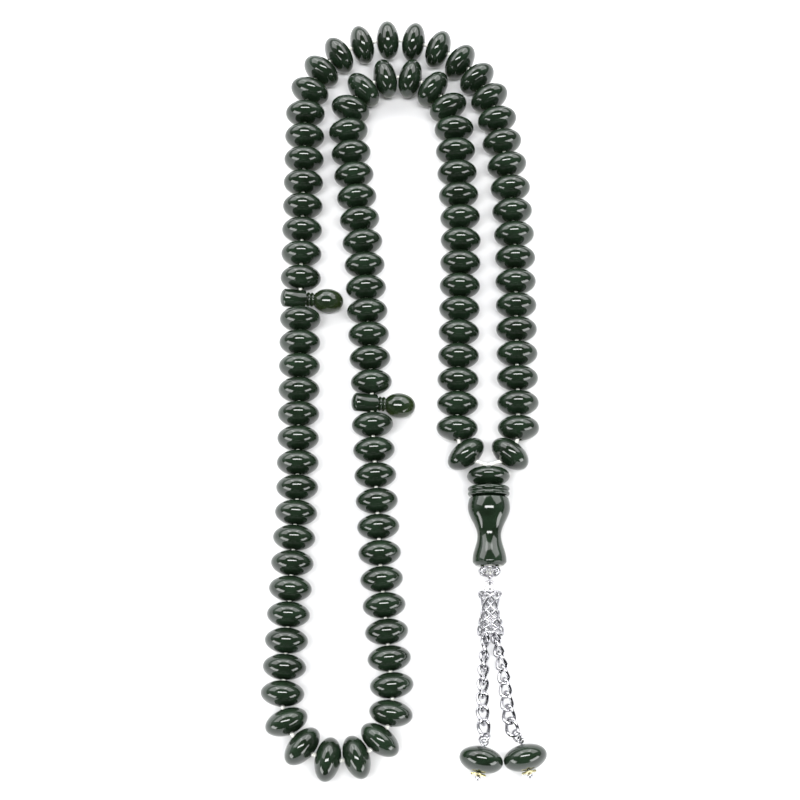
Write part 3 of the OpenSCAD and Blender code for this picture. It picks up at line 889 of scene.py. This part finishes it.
def pressed_star(name):
    """A four-pointed washer with its hole and softened edges."""
    deselect()
    bpy.ops.mesh.primitive_circle_add(vertices=8, radius=STAR_R * MM, fill_type="NOTHING")
    obj = bpy.context.object
    obj.name = obj.data.name = name
    bpy.ops.object.mode_set(mode="EDIT")
    bpy.ops.mesh.select_mode(type="VERT")

    def between_points(v):
        return min(abs(v.co.x), abs(v.co.y)) > 0.3 * MM

    select_only(obj.data, "vertices", between_points)
    bpy.ops.transform.resize(value=(0.5, 0.5, 1))
    bpy.ops.mesh.select_all(action="SELECT")
    bpy.ops.mesh.edge_face_add()
    bpy.ops.mesh.inset(thickness=0.18 * MM)
    bpy.ops.mesh.select_all(action="SELECT")
    bpy.ops.mesh.extrude_region_move(TRANSFORM_OT_translate={"value": (0, 0, STAR_LEN * MM)})
    bpy.ops.mesh.select_all(action="SELECT")
    bpy.ops.mesh.normals_make_consistent(inside=False)
    bpy.ops.object.mode_set(mode="OBJECT")
    drilled(obj, PIN_D + PIN_PLAY, 2, 32)
    soften = obj.modifiers.new("edges", "BEVEL")
    soften.width = 0.08 * MM
    soften.segments = 2
    bpy.ops.object.modifier_apply(modifier="edges")
    smooth(obj, 40)
    return obj


# ---- lights and table --------------------------------------------------------------


def add_table(card):
    deselect()
    bpy.ops.mesh.primitive_plane_add(size=3, location=(0, 0, TABLE_Z - 0.02 * MM))
    table = bpy.context.object
    table.name = "table"
    table.data.materials.append(card)


def add_softbox(name, azimuth, lift, distance, width, height, brightness):
    """A lit panel that faces the strand. Azimuth 0 is behind it, 90 to its right."""
    deselect()
    a, e = math.radians(azimuth), math.radians(lift)
    away = Vector((math.sin(a) * math.cos(e), math.cos(a) * math.cos(e), math.sin(e)))
    bpy.ops.object.light_add(type="AREA", location=away * distance)
    lamp = bpy.context.object
    lamp.name = name
    lamp.data.shape = "RECTANGLE"
    lamp.data.size = width
    lamp.data.size_y = height
    lamp.data.energy = 4 * width * height * brightness
    lamp.rotation_euler = (-away).to_track_quat("-Z", "Y").to_euler()


def dim_above(tree):
    """The room round the table: pale low down behind and to the left, dark elsewhere."""
    way = add_node(tree, "ShaderNodeTexCoord")
    split = add_node(tree, "ShaderNodeSeparateXYZ", links={"Vector": way.outputs["Generated"]})
    behind = add_node(
        tree,
        "ShaderNodeMapRange",
        {"From Min": -0.35, "From Max": 0.45, "To Min": 0.06, "To Max": 1.0},
        {"Value": split.outputs["Y"]},
    )
    low = add_node(
        tree,
        "ShaderNodeMapRange",
        {"From Min": 0.3, "From Max": 0.85, "To Min": 1.0, "To Max": 0.02},
        {"Value": split.outputs["Z"]},
    )
    left = add_node(
        tree,
        "ShaderNodeMapRange",
        {"From Min": 0.0, "From Max": 0.9, "To Min": 1.0, "To Max": 0.35},
        {"Value": split.outputs["X"]},
    )
    total = behind.outputs["Result"]
    for share in (low, left):
        total = add_node(
            tree,
            "ShaderNodeMath",
            {"operation": "MULTIPLY"},
            {0: total, 1: share.outputs["Result"]},
        ).outputs[0]
    return total


def add_light():
    world = bpy.data.worlds.new("soft_room")
    bpy.context.scene.world = world
    world.use_nodes = True
    tree = world.node_tree
    room = tree.nodes["Background"]
    room.inputs["Color"].default_value = linear("#f2f5f8")
    strength = add_node(
        tree, "ShaderNodeMath", {"operation": "MULTIPLY_ADD"}, {0: dim_above(tree)}
    )
    strength.inputs[1].default_value = 1.1
    strength.inputs[2].default_value = 0.03
    tree.links.new(strength.outputs[0], room.inputs["Strength"])
    add_softbox("roof_window", 180, 77, 0.9, 0.78, 0.2, 15)
    for turn in (-56, -5, 46):
        add_softbox(f"back_panel_{turn}", turn, 38, 0.9, 0.84, 0.62, 2.9)
    for side in (-1, 1):
        add_softbox(f"front_panel_{side}", 180 + side * 44, 7, 0.9, 0.62, 0.34, 5.5)
    # a wide fill that only lights: it leaves no shape of its own in the gloss
    add_softbox("ceiling_fill", 250, 65, 1.6, 1.8, 1.8, 0.3)
    bpy.context.object.visible_glossy = False


# ---- the scene ---------------------------------------------------------------------

bpy.context.scene.view_settings.view_transform = "Standard"
add_camera()
resin = polished_resin()
metal = plated_wire()
brass = brassy_plate()
cord = nylon_cord()
way = string_beads(resin)
string_through(way, cord)
add_dividers(resin)
add_imam(resin)
add_tail(cord)
add_cap(metal)
add_jump_ring(metal)
add_cone(metal)
add_cone_pin(metal)
add_chain("left", LEFT_HOOK, LEFT_LINKS, metal)
add_chain("right", RIGHT_HOOK, RIGHT_LINKS, metal)
add_drop("left", resin, metal, brass)
add_drop("right", resin, metal, brass)
add_table(table_card())
add_light()
